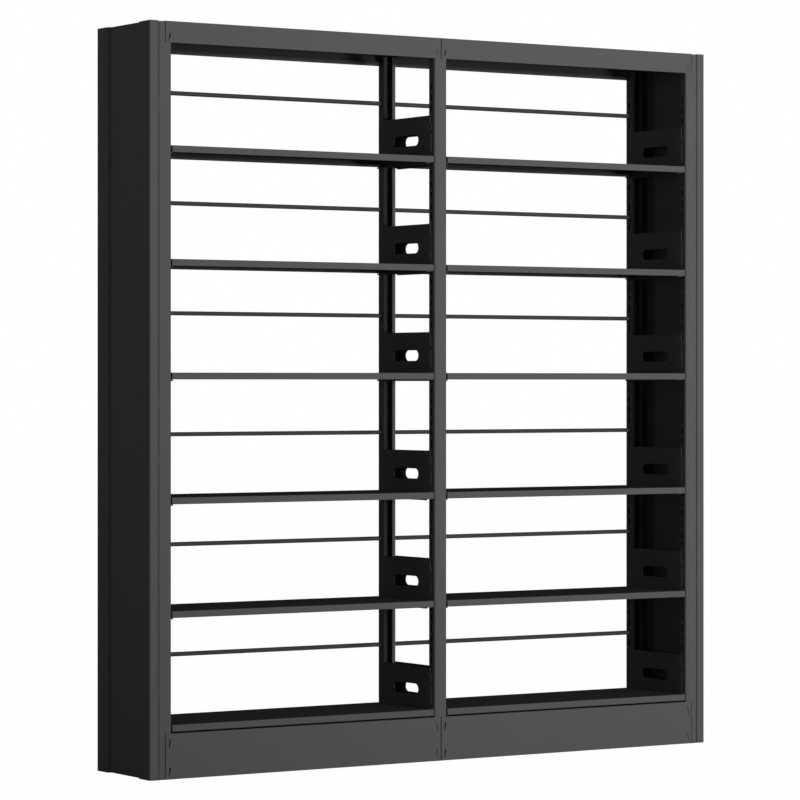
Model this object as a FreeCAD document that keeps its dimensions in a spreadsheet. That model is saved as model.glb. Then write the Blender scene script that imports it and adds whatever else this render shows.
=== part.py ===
import FreeCAD, Part
import os
import re

import Sketcher

# Open steel library shelving: two bays between three slotted side frames, six shelves a bay.
# Frame: +X along the shelves, +Y to the back, +Z up. The origin is on the floor, at the
# centre of the footprint. Millimetres.
#
# The slots of the columns are the ruler of the whole rack. Brackets, stop rails and the lugs
# of the end panels hang in numbered slots, slot 0 being the lowest, and the columns end a
# fixed margin above slot TOP_SLOT. Only the slots that a hook uses are cut: the free ones
# between them, at the same pitch, are left out of the solids.

BAYS = {"left": -1, "right": 1}
FRAMES = {"left": -1, "middle": 0, "right": 1}
FACES = {"front": 1, "rear": -1}
TIER_SLOTS = (0, 10, 20, 31, 41, 51)
BRACKET_HOOK_SLOTS = (0, 2)
RAIL_SLOT = 5
SPARE_SLOTS = 1
LUG_SLOTS = (2, 28, 54)
TOP_SLOT = TIER_SLOTS[-1] + RAIL_SLOT + SPARE_SLOTS

DRIVING_SIZES = (
    ("bay_pitch", 872, "column centre to column centre along the shelves"),
    ("depth", 296, "overall depth, outer face to outer face"),
    ("slot_pitch", 30, "spacing of the slots up a column"),
    ("slot_first_level", 155.5, "centre of the lowest slot above the floor"),
    ("top_margin", 134.5, "centre of the highest slot to the top of the rack"),
    ("slot_inset", 20, "slot line behind the outer face of the rack"),
    ("slot_width", 5.5, "slot, across"),
    ("slot_height", 17, "slot, up and down"),
    ("column_width", 40, "column section, along the shelves"),
    ("column_depth", 31, "column section, front to back"),
    ("column_sheet", 1.5, "column wall"),
    ("column_bend", 8, "outer radius of the two show corners"),
    ("column_lip", 11.5, "lips that close the open side of the column"),
    ("web_slot_width", 5, "slots in the show face for covers and kick plates, across"),
    ("web_slot_height", 18, "the same, up and down"),
    ("web_slot_offset", 9.5, "the same, beside the column's centre line"),
    ("foot_sole", 2.5, "thickness of the foot cap under a column"),
    ("foot_plug", 8, "height of the plug that stands in the column"),
    ("foot_plug_setback", 12, "plug behind the show face"),
    ("foot_fit", 0.3, "clearance round the plug"),
    ("tie_width", 34, "frame tie, across"),
    ("tie_height", 30, "frame tie, up and down"),
    ("tie_sheet", 1.5, "frame tie wall"),
    ("tie_low_level", 35, "underside of the lower tie above the floor"),
    ("tie_top_drop", 3, "top of the upper tie below the column's end"),
    ("cover_sheet", 1, "sheet of top covers, kick plates and end panels"),
    ("hang_gap", 0.2, "covers and plates to the column they hang on"),
    ("split_gap", 1.5, "between two covers or plates on one column"),
    ("fascia_height", 57, "front and rear fascia of a top cover"),
    ("fascia_chamfer", 4.5, "cut lower corners of the fascia"),
    ("hem_return", 15, "stiffening return of a folded edge"),
    ("hem_lip", 11, "lip turned up from the return"),
    ("hem_end_gap", 2, "end of a return to the column beside it"),
    ("cover_bend", 2, "outer radius of the two top folds of a cover"),
    ("hook_mark_offset", 13.5, "lanced slot beside the column's centre line"),
    ("hook_mark_wide", 5.5, "lanced slot, wide upper end"),
    ("hook_mark_narrow", 2.5, "lanced slot, narrow lower end"),
    ("hook_mark_lean", 4, "lean of the lanced slot"),
    ("fascia_mark_height", 17, "lanced slot of a fascia, up and down"),
    ("fascia_mark_drop", 41, "its centre below the top of the rack"),
    ("kick_mark_height", 23, "lanced slot of a kick plate, up and down"),
    ("kick_mark_low", 19.5, "centre of the lower one above the floor"),
    ("kick_mark_high", 95, "centre of the upper one above the floor"),
    ("kick_gap", 4, "kick plate to the lowest shelf"),
    ("panel_reach", 26, "column's outer face to the end panel's outer face"),
    ("panel_gap", 0.3, "rim of the end panel to the column"),
    ("panel_bend", 3.5, "outer radius of the panel's corners"),
    ("pilaster", 62, "raised strip at each edge of the panel"),
    ("recess_depth", 10, "sunk field between the strips"),
    ("recess_slope", 4, "run of the slope into the field"),
    ("lug_half_height", 12, "half the height of a panel lug"),
    ("hook_sheet", 1.2, "sheet of brackets, lugs and hooks"),
    ("hook_neck", 8, "neck of a hook, up and down"),
    ("hook_drop", 7.8, "drop of a hook behind the column wall"),
    ("hook_lip", 2.2, "thickness of the drop"),
    ("hook_play", 0.5, "column wall to the drop"),
    ("hook_seat", 0.2, "neck above the lower end of its slot"),
    ("shelf_inset", 3, "shelf front behind the rack's front face"),
    ("shelf_rear_gap", 21, "shelf rear before the rack's rear face"),
    ("shelf_lip", 18, "folded front and rear edges of a shelf"),
    ("shelf_sheet", 1, "shelf sheet"),
    ("shelf_return", 15, "return under the front and rear edges"),
    ("shelf_upturn", 8, "lip turned up from that return"),
    ("shelf_end_gap", 2.6, "shelf end to column"),
    ("deck_drop", 12.5, "shelf top below the lower hook slot of its brackets"),
    ("bracket_rise", 113.5, "bracket above the shelf top"),
    ("bracket_gap", 0.3, "bracket to the side of the column"),
    ("bracket_step", 0.8, "swage that sets the upper strip in"),
    ("bracket_step_height", 3, "height of the swage"),
    ("bracket_strip", 22, "upper strip above the swage"),
    ("ledge_width", 14, "ledge that carries the shelf's end"),
    ("ledge_gap", 0.3, "shelf above its ledge"),
    ("ledge_lip", 4.5, "stiffening lip of the ledge below the shelf"),
    ("handle_length", 125, "hand hole, front to back"),
    ("handle_height", 30, "hand hole, up and down"),
    ("handle_corner", 8.8, "cut of its four corners"),
    ("handle_level", 49, "its centre above the shelf top"),
    ("rail_height", 11.5, "stop rail, up and down"),
    ("rail_depth", 14, "stop rail, front to back"),
    ("rail_bend", 4.5, "outer radius of the rail's rounded face"),
    ("rail_end_gap", 0.3, "rail end to column"),
)

# Sizes that follow from the driving ones.
HEIGHT = f"(slot_first_level + slot_pitch * {TOP_SLOT} + top_margin)"
FACE_INSET = "(cover_sheet + hang_gap)"
COLUMN_TOP = f"({HEIGHT} - {FACE_INSET})"
CLEAR_WIDTH = "(bay_pitch - column_width)"
COVER_LENGTH = "(bay_pitch - split_gap)"
SLOT_LINE = "(depth / 2 - slot_inset)"
BASE_DECK = "(slot_first_level - deck_drop)"
KICK_HEIGHT = f"({BASE_DECK} - shelf_lip - kick_gap)"
PANEL_WIDTH = "(panel_reach - panel_gap)"
HOOK_LINE = "(bay_pitch / 2 - web_slot_offset)"

doc = FreeCAD.newDocument("library_shelving")
sheet = doc.addObject("Spreadsheet::Sheet", "sizes")
for row, (alias, size, note) in enumerate(DRIVING_SIZES, start=1):
    sheet.set(f"A{row}", alias)
    sheet.set(f"B{row}", str(size))
    sheet.set(f"C{row}", note)
    sheet.setAlias(f"B{row}", alias)
doc.recompute()
ALIASES = {alias for alias, size, note in DRIVING_SIZES}


# ---- drawing helpers ------------------------------------------------------------------------

def bound(text):
    """The expression with every size read from the sheet."""
    return re.sub(r"[a-z_]+", lambda word: "sizes." + word[0] if word[0] in ALIASES else word[0], text)


def value(text):
    """The number that an expression has at present."""
    return float(sheet.evalExpression(bound(text)))


def slot_level(slot):
    """Height of a numbered slot's centre above the floor."""
    return f"(slot_first_level + slot_pitch * {slot})"


def new_body(label):
    body = doc.addObject("PartDesign::Body", label)
    body.Label = label
    return body


def datum(body, role):
    return next(item for item in body.Origin.OriginFeatures if item.Role == role)


def new_sketch(body, role, offset=None):
    """A sketch on one of the body's own planes, moved along the plane's normal by offset."""
    sketch = body.newObject("Sketcher::SketchObject", "Sketch")
    sketch.AttachmentSupport = [(datum(body, role), "")]
    sketch.MapMode = "FlatFace"
    if offset:
        sketch.setExpression("AttachmentOffset.Base.z", bound(offset))
    return sketch


def pin_point(sketch, geometry, position, x, y):
    """Dimension one point of the sketch from the origin."""
    for kind, text in (("DistanceX", x), ("DistanceY", y)):
        number = sketch.addConstraint(Sketcher.Constraint(kind, geometry, position, value(text)))
        sketch.setExpression(f"Constraints[{number}]", bound(text))


def draw_outline(sketch, corners):
    """A closed outline of straight lines, each corner dimensioned from the origin."""
    first = sketch.GeometryCount
    places = [FreeCAD.Vector(value(x), value(y), 0) for x, y in corners]
    count = len(corners)
    for index in range(count):
        sketch.addGeometry(Part.LineSegment(places[index], places[(index + 1) % count]), False)
    for index, (x, y) in enumerate(corners):
        following = first + (index + 1) % count
        sketch.addConstraint(Sketcher.Constraint("Coincident", first + index, 2, following, 1))
        pin_point(sketch, first + index, 1, x, y)


def draw_rectangle(sketch, left, right, low, high):
    draw_outline(sketch, ((left, low), (right, low), (right, high), (left, high)))


def pad(body, sketch, length, midplane=False, backwards=False):
    feature = body.newObject("PartDesign::Pad", "Pad")
    feature.Profile = sketch
    feature.Midplane = midplane
    feature.Reversed = backwards
    feature.setExpression("Length", bound(length))
    doc.recompute()
    return feature


def pocket(body, sketch, length, midplane=False, backwards=False):
    """A pocket that must remove material."""
    before = body.Shape.Volume
    feature = body.newObject("PartDesign::Pocket", "Pocket")
    feature.Profile = sketch
    feature.Midplane = midplane
    feature.Reversed = backwards
    feature.setExpression("Length", bound(length))
    doc.recompute()
    if not body.Shape.Volume < before:
        raise RuntimeError(f"{body.Label}: {feature.Name} cuts nothing")
    return feature


def edge_names(shape, direction, places):
    """Straight edges along a direction (0, 1, 2 for X, Y, Z) at the given places across it."""
    across = [axis for axis in range(3) if axis != direction]
    targets = [(value(first), value(second)) for first, second in places]
    names = []
    for number, edge in enumerate(shape.Edges, start=1):
        ends = [vertex.Point for vertex in edge.Vertexes]
        for target in targets:
            offsets = [abs(end[axis] - goal) for end in ends for axis, goal in zip(across, target)]
            if len(ends) == 2 and max(offsets) < 0.001:
                names.append(f"Edge{number}")
    return names


def round_edges(body, radius, direction, places, kind="Fillet"):
    """Fillet or chamfer the straight edges at the given places."""
    base = body.Tip
    feature = body.newObject("PartDesign::" + kind, kind)
    feature.Base = (base, edge_names(base.Shape, direction, places))
    feature.setExpression("Radius" if kind == "Fillet" else "Size", bound(radius))
    doc.recompute()
    return feature


def mirror(body, features, role):
    feature = body.newObject("PartDesign::Mirrored", "Mirrored")
    feature.Originals = features
    feature.MirrorPlane = (datum(body, role), [""])
    body.Tip = feature
    doc.recompute()
    return feature


def place(item, x, y, z, turned=False):
    """Put an item in the rack's frame, turned half round the vertical if asked."""
    item.Placement = FreeCAD.Placement(
        FreeCAD.Vector(0, 0, 0), FreeCAD.Rotation(FreeCAD.Vector(0, 0, 1), 180 if turned else 0))
    for axis, text in (("x", x), ("y", y), ("z", z)):
        item.setExpression(f"Placement.Base.{axis}", bound(text))


def copy_of(master, label):
    """A second piece of the same make, which follows its master's sizes."""
    body = new_body(label)
    clone = doc.addObject("PartDesign::FeatureBase", "Clone")
    body.Group = [clone]
    clone.BaseFeature = master
    body.Tip = clone
    return body


def group(label, members):
    """Several solids that share one node."""
    compound = doc.addObject("Part::Compound", label)
    compound.Label = label
    compound.Links = members
    return compound


def draw_hook(sketch, root, wall, sheet_of_wall, slot_bottom, side):
    """A hook whose neck rests in a slot and whose drop hangs behind the wall.

    root is where it leaves its plate, wall the near face of the slotted wall, and side the
    direction from the plate to the wall.
    """
    behind = f"({wall}) + {side} * ({sheet_of_wall} + hook_play)"
    tip = f"{behind} + {side} * hook_lip"
    low = f"({slot_bottom}) + hook_seat"
    draw_outline(sketch, (
        (root, low),
        (behind, low),
        (behind, f"{low} - hook_drop"),
        (tip, f"{low} - hook_drop"),
        (tip, f"{low} + hook_neck"),
        (root, f"{low} + hook_neck")))


# ---- columns --------------------------------------------------------------------------------

def web_slot_levels():
    return ("kick_mark_low", "kick_mark_high", f"({HEIGHT} - fascia_mark_drop)")


def used_slots(beside_a_bay, face):
    """Numbers of the slots in one wall of a column. The stop rails hang at the rear only."""
    if not beside_a_bay:
        return LUG_SLOTS
    steps = BRACKET_HOOK_SLOTS if face > 0 else (*BRACKET_HOOK_SLOTS, RAIL_SLOT)
    return [tier + step for tier in TIER_SLOTS for step in steps]


def column(label, frame, face):
    """Lipped C section with the slots in the walls beside each bay it serves.

    Its own frame has the show face at y = 0, the open side at +y and its lower end at z = 0.
    """
    body = new_body(label)
    half = "column_width / 2"
    inner = "(column_width / 2 - column_sheet)"
    lip = "(column_width / 2 - column_lip)"
    back = "column_depth"
    inside_back = "(column_depth - column_sheet)"
    section = new_sketch(body, "XY_Plane")
    draw_outline(section, (
        ("-" + half, "0"), (half, "0"), (half, back), (lip, back), (lip, inside_back),
        (inner, inside_back), (inner, "column_sheet"), ("-" + inner, "column_sheet"),
        ("-" + inner, inside_back), ("-" + lip, inside_back), ("-" + lip, back), ("-" + half, back)))
    pad(body, section, f"{COLUMN_TOP} - foot_sole")
    round_edges(body, "column_bend", 2, (("-" + half, "0"), (half, "0")))
    round_edges(body, "column_bend - column_sheet", 2,
                (("-" + inner, "column_sheet"), (inner, "column_sheet")))

    bay_sides = [side for side in (-1, 1) if abs(frame + side) <= 1]
    for side in (-1, 1):
        line = f"(slot_inset - {FACE_INSET})"
        slots = new_sketch(body, "YZ_Plane")
        for number in used_slots(side in bay_sides, face):
            level = f"({slot_level(number)} - foot_sole)"
            draw_rectangle(slots, f"{line} - slot_width / 2", f"{line} + slot_width / 2",
                           f"{level} - slot_height / 2", f"{level} + slot_height / 2")
        pocket(body, slots, "column_width", backwards=side * face > 0)

    web = new_sketch(body, "XZ_Plane")
    for side in bay_sides:
        for above_floor in web_slot_levels():
            middle = f"{side * face} * web_slot_offset"
            level = f"({above_floor} - foot_sole)"
            draw_rectangle(web, f"{middle} - web_slot_width / 2", f"{middle} + web_slot_width / 2",
                           f"{level} - web_slot_height / 2", f"{level} + web_slot_height / 2")
    pocket(body, web, "column_sheet * 2")
    place(body, f"bay_pitch * {frame}", f"{-face} * (depth / 2 - {FACE_INSET})", "foot_sole",
          turned=face < 0)
    return body


# ---- feet and frame ties --------------------------------------------------------------------

def foot_cap(label):
    """Moulded sole with a plug that stands in the column's open section."""
    body = new_body(label)
    half = "column_width / 2"
    sole = new_sketch(body, "XY_Plane")
    draw_rectangle(sole, "-" + half, half, "0", "column_depth")
    pad(body, sole, "foot_sole")
    round_edges(body, "column_bend", 2, (("-" + half, "0"), (half, "0")))
    plug = new_sketch(body, "XY_Plane")
    wall = "(column_width / 2 - column_sheet - foot_fit)"
    draw_rectangle(plug, "-" + wall, wall, "foot_plug_setback", "column_depth - column_sheet - foot_fit")
    pad(body, plug, "foot_sole + foot_plug")
    return body


def frame_tie(label):
    """Channel, open below, welded between the lips of a frame's two columns."""
    body = new_body(label)
    half = "tie_width / 2"
    inner = "(tie_width / 2 - tie_sheet)"
    section = new_sketch(body, "XZ_Plane")
    draw_outline(section, (
        ("-" + half, "0"), ("-" + half, "tie_height"), (half, "tie_height"), (half, "0"),
        (inner, "0"), (inner, "tie_height - tie_sheet"), ("-" + inner, "tie_height - tie_sheet"),
        ("-" + inner, "0")))
    pad(body, section, f"depth - ({FACE_INSET} + column_depth) * 2", midplane=True)
    return body


# ---- covers, kick plates and end panels -----------------------------------------------------

def draw_hook_mark(sketch, side, level, height):
    """Slanted hole left by a lanced hook, near one end of a plate, leaning to the bay's middle."""
    middle = f"(bay_pitch / 2 - hook_mark_offset)"
    low = f"{level} - {height} / 2"
    high = f"{level} + {height} / 2"
    draw_outline(sketch, (
        (f"{side} * ({middle} + hook_mark_lean / 2 + hook_mark_narrow / 2)", low),
        (f"{side} * ({middle} + hook_mark_lean / 2 - hook_mark_narrow / 2)", low),
        (f"{side} * ({middle} - hook_mark_lean / 2 - hook_mark_wide / 2)", high),
        (f"{side} * ({middle} - hook_mark_lean / 2 + hook_mark_wide / 2)", high)))


def draw_hem(sketch, outer, inward, level, upward):
    """Return and turned lip of a folded edge, seen from the side."""
    tip = f"({outer}) + {inward} * hem_return"
    draw_outline(sketch, (
        (f"({outer}) + {inward} * cover_sheet / 2", level),
        (tip, level),
        (tip, f"({level}) + {upward} * hem_lip"),
        (f"{tip} - {inward} * cover_sheet", f"({level}) + {upward} * hem_lip"),
        (f"{tip} - {inward} * cover_sheet", f"({level}) + {upward} * cover_sheet"),
        (f"({outer}) + {inward} * cover_sheet / 2", f"({level}) + {upward} * cover_sheet")))


def top_cover(label):
    """Inverted tray over one bay. Its own frame has z = 0 at the top, centred on the bay."""
    body = new_body(label)
    front = "-depth / 2"
    rear = "depth / 2"
    skirt = new_sketch(body, "YZ_Plane")
    draw_outline(skirt, (
        (front, "-fascia_height"), (front, "0"), (rear, "0"), (rear, "-fascia_height"),
        (f"{rear} - cover_sheet", "-fascia_height"), (f"{rear} - cover_sheet", "-cover_sheet"),
        (f"{front} + cover_sheet", "-cover_sheet"), (f"{front} + cover_sheet", "-fascia_height")))
    pad(body, skirt, COVER_LENGTH, midplane=True)
    round_edges(body, "cover_bend", 0, ((front, "0"), (rear, "0")))
    end = f"{COVER_LENGTH} / 2"
    round_edges(body, "fascia_chamfer", 1,
                (("-" + end, "-fascia_height"), (end, "-fascia_height")), kind="Chamfer")
    hem = new_sketch(body, "YZ_Plane")
    draw_hem(hem, front, "1", "-fascia_height", "1")
    draw_hem(hem, rear, "-1", "-fascia_height", "1")
    pad(body, hem, f"{CLEAR_WIDTH} - hem_end_gap * 2", midplane=True)
    marks = new_sketch(body, "XZ_Plane")
    for side in ("-1", "1"):
        draw_hook_mark(marks, side, "-fascia_mark_drop", "fascia_mark_height")
    pocket(body, marks, "depth * 2", midplane=True)
    hooks = new_sketch(body, "YZ_Plane", offset=HOOK_LINE)
    for side in (1, -1):
        face = f"{-side} * depth / 2"
        draw_hook(hooks, f"{face} + {side} * cover_sheet / 2", f"{face} + {side} * {FACE_INSET}",
                  "column_sheet", "-fascia_mark_drop - web_slot_height / 2", side)
    tongue = pad(body, hooks, "cover_sheet", midplane=True)
    mirror(body, [tongue], "YZ_Plane")
    return body


def kick_plate(label):
    """Plate that closes the foot of a bay. Its own frame has the show face at y = 0."""
    body = new_body(label)
    end = f"{COVER_LENGTH} / 2"
    plate = new_sketch(body, "XZ_Plane")
    draw_rectangle(plate, "-" + end, end, "0", KICK_HEIGHT)
    pad(body, plate, "cover_sheet", backwards=True)
    hem = new_sketch(body, "YZ_Plane")
    draw_hem(hem, "0", "1", "0", "1")
    draw_hem(hem, "0", "1", KICK_HEIGHT, "-1")
    pad(body, hem, f"{CLEAR_WIDTH} - hem_end_gap * 2", midplane=True)
    marks = new_sketch(body, "XZ_Plane")
    hooks = new_sketch(body, "YZ_Plane", offset=HOOK_LINE)
    for level in ("kick_mark_low", "kick_mark_high"):
        for side in ("-1", "1"):
            draw_hook_mark(marks, side, level, "kick_mark_height")
        draw_hook(hooks, "cover_sheet / 2", FACE_INSET, "column_sheet",
                  f"{level} - web_slot_height / 2", 1)
    pocket(body, marks, "cover_sheet * 4", midplane=True)
    tongue = pad(body, hooks, "cover_sheet", midplane=True)
    mirror(body, [tongue], "YZ_Plane")
    return body


def end_panel(label):
    """Pan-shaped end panel with two raised strips and a sunk field, hung on lugs.

    Its own frame has the open rim at x = 0 and the show face at -x.
    """
    body = new_body(label)
    half = "depth / 2"
    strip = "(depth / 2 - pilaster)"
    field = "(depth / 2 - pilaster - recess_slope)"
    outer = "-" + PANEL_WIDTH
    sunk = f"(recess_depth - {PANEL_WIDTH})"
    plan = new_sketch(body, "XY_Plane")
    draw_outline(plan, (
        ("0", "-" + half), ("0", half), (outer, half), (outer, strip), (sunk, field),
        (sunk, "-" + field), (outer, "-" + strip), (outer, "-" + half)))
    pad(body, plan, HEIGHT)
    rounded = round_edges(body, "panel_bend", 2, ((outer, half), (outer, "-" + half)))
    rim = [f"Face{number}" for number, face in enumerate(rounded.Shape.Faces, start=1)
           if face.BoundBox.XLength < 0.001 and abs(face.CenterOfMass.x) < 0.001]
    shell = body.newObject("PartDesign::Thickness", "Thickness")
    shell.Base = (rounded, rim)
    shell.setExpression("Value", bound("cover_sheet"))
    shell.Reversed = True
    shell.Join = "Intersection"
    doc.recompute()
    lug = new_sketch(body, "YZ_Plane")
    hook = new_sketch(body, "XZ_Plane", offset=SLOT_LINE)
    for slot in LUG_SLOTS:
        level = slot_level(slot)
        draw_rectangle(lug, "cover_sheet / 2 - depth / 2", f"hook_sheet / 2 - {SLOT_LINE}",
                       f"{level} - lug_half_height", f"{level} + lug_half_height")
        draw_hook(hook, "-hook_sheet", "panel_gap", "column_sheet",
                  f"{level} - slot_height / 2", 1)
    lugs = pad(body, lug, "hook_sheet", backwards=True)
    hooks = pad(body, hook, "hook_sheet", midplane=True)
    mirror(body, [lugs, hooks], "XZ_Plane")
    return body


# ---- shelves, brackets and stop rails -------------------------------------------------------

def shelf(label):
    """Folded tray shelf. Its own frame has z = 0 on the deck, centred on the bay and the rack."""
    body = new_body(label)
    front = "(shelf_inset - depth / 2)"
    rear = "(depth / 2 - shelf_rear_gap)"
    low = "-shelf_lip"
    inside_low = "(shelf_sheet - shelf_lip)"
    upturn = "(shelf_upturn - shelf_lip)"
    section = new_sketch(body, "YZ_Plane")
    draw_outline(section, (
        (front, "0"), (front, low),
        (f"{front} + shelf_return", low), (f"{front} + shelf_return", upturn),
        (f"{front} + shelf_return - shelf_sheet", upturn),
        (f"{front} + shelf_return - shelf_sheet", inside_low),
        (f"{front} + shelf_sheet", inside_low), (f"{front} + shelf_sheet", "-shelf_sheet"),
        (f"{rear} - shelf_sheet", "-shelf_sheet"), (f"{rear} - shelf_sheet", inside_low),
        (f"{rear} - shelf_return + shelf_sheet", inside_low),
        (f"{rear} - shelf_return + shelf_sheet", upturn),
        (f"{rear} - shelf_return", upturn), (f"{rear} - shelf_return", low),
        (rear, low), (rear, "0")))
    pad(body, section, f"{CLEAR_WIDTH} - shelf_end_gap * 2", midplane=True)
    flange = new_sketch(body, "YZ_Plane", offset=f"{CLEAR_WIDTH} / 2 - shelf_end_gap - shelf_sheet")
    draw_rectangle(flange, f"{front} + shelf_sheet / 2", f"{rear} - shelf_sheet / 2",
                   "shelf_sheet / 2 - shelf_lip", "-shelf_sheet / 2")
    closed_end = pad(body, flange, "shelf_sheet")
    mirror(body, [closed_end], "YZ_Plane")
    return body


def bracket(label):
    """Shelf bracket: plate with a ledge below, a hand hole, and hooks bent from its two edges.

    Its own frame has x = 0 on the side of the column, the ledge at +x, and z = 0 on the deck.
    """
    body = new_body(label)
    outer = "bracket_gap"
    inner = "(bracket_gap + hook_sheet)"
    ledge = "(-shelf_lip - ledge_gap)"
    ledge_end = "(bracket_gap + ledge_width)"
    lip = "(-shelf_lip - ledge_lip)"
    swage_top = "(bracket_rise - bracket_strip)"
    swage_low = "(bracket_rise - bracket_strip - bracket_step_height)"
    section = new_sketch(body, "XZ_Plane")
    draw_outline(section, (
        (outer, f"{ledge} - hook_sheet"), (f"{ledge_end} - hook_sheet", f"{ledge} - hook_sheet"),
        (f"{ledge_end} - hook_sheet", lip), (ledge_end, lip), (ledge_end, ledge), (inner, ledge),
        (inner, swage_low), (f"{inner} + bracket_step", swage_top),
        (f"{inner} + bracket_step", "bracket_rise"), (f"{outer} + bracket_step", "bracket_rise"),
        (f"{outer} + bracket_step", swage_top), (outer, swage_low)))
    pad(body, section, f"{SLOT_LINE} * 2 + hook_sheet", midplane=True)
    handle = new_sketch(body, "YZ_Plane")
    end = "(handle_length / 2)"
    cut_end = "(handle_length / 2 - handle_corner)"
    hole_low, hole_high = "(handle_level - handle_height / 2)", "(handle_level + handle_height / 2)"
    draw_outline(handle, (
        ("-" + cut_end, hole_low), (cut_end, hole_low), (end, f"{hole_low} + handle_corner"),
        (end, f"{hole_high} - handle_corner"), (cut_end, hole_high), ("-" + cut_end, hole_high),
        ("-" + end, f"{hole_high} - handle_corner"), ("-" + end, f"{hole_low} + handle_corner")))
    pocket(body, handle, "(bracket_gap + hook_sheet) * 4", midplane=True)
    hook = new_sketch(body, "XZ_Plane", offset=SLOT_LINE)
    for slot in BRACKET_HOOK_SLOTS:
        slot_bottom = f"deck_drop + slot_pitch * {slot} - slot_height / 2"
        draw_hook(hook, inner, "0", "column_sheet", slot_bottom, -1)
    hooks = pad(body, hook, "hook_sheet", midplane=True)
    mirror(body, [hooks], "XZ_Plane")
    return body


def stop_rail(label):
    """Closed tube with a rounded face that stops books at the back, hooked in a slot each end.

    Its own frame has y = 0 on the slot line and z = 0 at the slot's centre.
    """
    body = new_body(label)
    front = "-rail_depth / 2"
    rear = "rail_depth / 2"
    half = "rail_height / 2"
    section = new_sketch(body, "YZ_Plane")
    draw_rectangle(section, front, rear, "-" + half, half)
    pad(body, section, f"{CLEAR_WIDTH} - rail_end_gap * 2", midplane=True)
    round_edges(body, "rail_bend", 0, ((front, "-" + half), (front, half)))
    plate = new_sketch(body, "YZ_Plane", offset=f"{CLEAR_WIDTH} / 2 - rail_end_gap - hook_sheet")
    neck_low = "(hook_seat - slot_height / 2)"
    draw_rectangle(plate, front, rear, neck_low, half)
    end_plate = pad(body, plate, "hook_sheet")
    hook = new_sketch(body, "XZ_Plane")
    wall = f"{CLEAR_WIDTH} / 2"
    draw_hook(hook, f"{wall} - rail_end_gap - hook_sheet", wall, "column_sheet",
              "-slot_height / 2", 1)
    end_hook = pad(body, hook, "hook_sheet", midplane=True)
    mirror(body, [end_plate, end_hook], "YZ_Plane")
    return body


# ---- the rack -------------------------------------------------------------------------------

nodes = []

for frame_name, frame in FRAMES.items():
    for face_name, face in FACES.items():
        nodes.append(column(f"column_{frame_name}_{face_name}", frame, face))

foot_master = foot_cap("foot_cap_master")
feet = []
for frame_name, frame in FRAMES.items():
    for face_name, face in FACES.items():
        foot = copy_of(foot_master, f"foot_{frame_name}_{face_name}")
        place(foot, f"bay_pitch * {frame}", f"{-face} * (depth / 2 - {FACE_INSET})", "0", face < 0)
        feet.append(foot)
nodes.append(group("foot_caps", feet))

tie_master = frame_tie("frame_tie_master")
for frame_name, frame in FRAMES.items():
    levels = {"lower": "tie_low_level", "upper": f"{COLUMN_TOP} - tie_top_drop - tie_height"}
    for level_name, level in levels.items():
        tie = copy_of(tie_master, f"frame_tie_{frame_name}_{level_name}")
        place(tie, f"bay_pitch * {frame}", "0", level)
        nodes.append(tie)

panel_master = end_panel("end_panel_master")
for panel_name, side in BAYS.items():
    panel = copy_of(panel_master, f"end_panel_{panel_name}")
    place(panel, f"{side} * (bay_pitch + column_width / 2 + panel_gap)", "0", "0", turned=side > 0)
    nodes.append(panel)

cover_master = top_cover("top_cover_master")
kick_master = kick_plate("kick_plate_master")
for bay_name, side in BAYS.items():
    cover = copy_of(cover_master, f"top_cover_{bay_name}")
    place(cover, f"{side} * bay_pitch / 2", "0", HEIGHT)
    nodes.append(cover)
    for face_name, face in FACES.items():
        kick = copy_of(kick_master, f"kick_plate_{bay_name}_{face_name}")
        place(kick, f"{side} * bay_pitch / 2", f"{-face} * depth / 2", "0", turned=face < 0)
        nodes.append(kick)

shelf_master = shelf("shelf_master")
rail_master = stop_rail("stop_rail_master")
bracket_master = bracket("bracket_master")
place(bracket_master, f"-{CLEAR_WIDTH} / 2", "0", "0")
bracket_twin = copy_of(bracket_master, "bracket_twin")
place(bracket_twin, f"{CLEAR_WIDTH} / 2", "0", "0", turned=True)
for bay_name, side in BAYS.items():
    for number, slot in enumerate(TIER_SLOTS, start=1):
        middle = f"{side} * bay_pitch / 2"
        deck = f"{slot_level(slot)} - deck_drop"
        tray = copy_of(shelf_master, f"shelf_{bay_name}_{number}")
        place(tray, middle, "0", deck)
        pair = group(f"bracket_pair_{bay_name}_{number}", [bracket_master, bracket_twin])
        place(pair, middle, "0", deck)
        rail = copy_of(rail_master, f"stop_rail_{bay_name}_{number}")
        place(rail, middle, SLOT_LINE, slot_level(slot + RAIL_SLOT))
        nodes.extend((tray, pair, rail))

# ---- checks and files -----------------------------------------------------------------------

doc.recompute()
for item in doc.Objects:
    if {"Invalid", "Error"} & set(item.State):
        raise RuntimeError(f"{item.Label} did not rebuild: {item.State}")
for node in nodes:
    if node.Shape.isNull() or not node.Shape.isValid():
        raise RuntimeError(f"{node.Label} has no valid shape")

os.makedirs("parts", exist_ok=True)
for node in nodes:
    node.Shape.exportStep(os.path.join("parts", node.Label + ".step"))
print(len(nodes), "sub-parts,", sum(len(node.Shape.Solids) for node in nodes), "solids")
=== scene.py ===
import math

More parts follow.
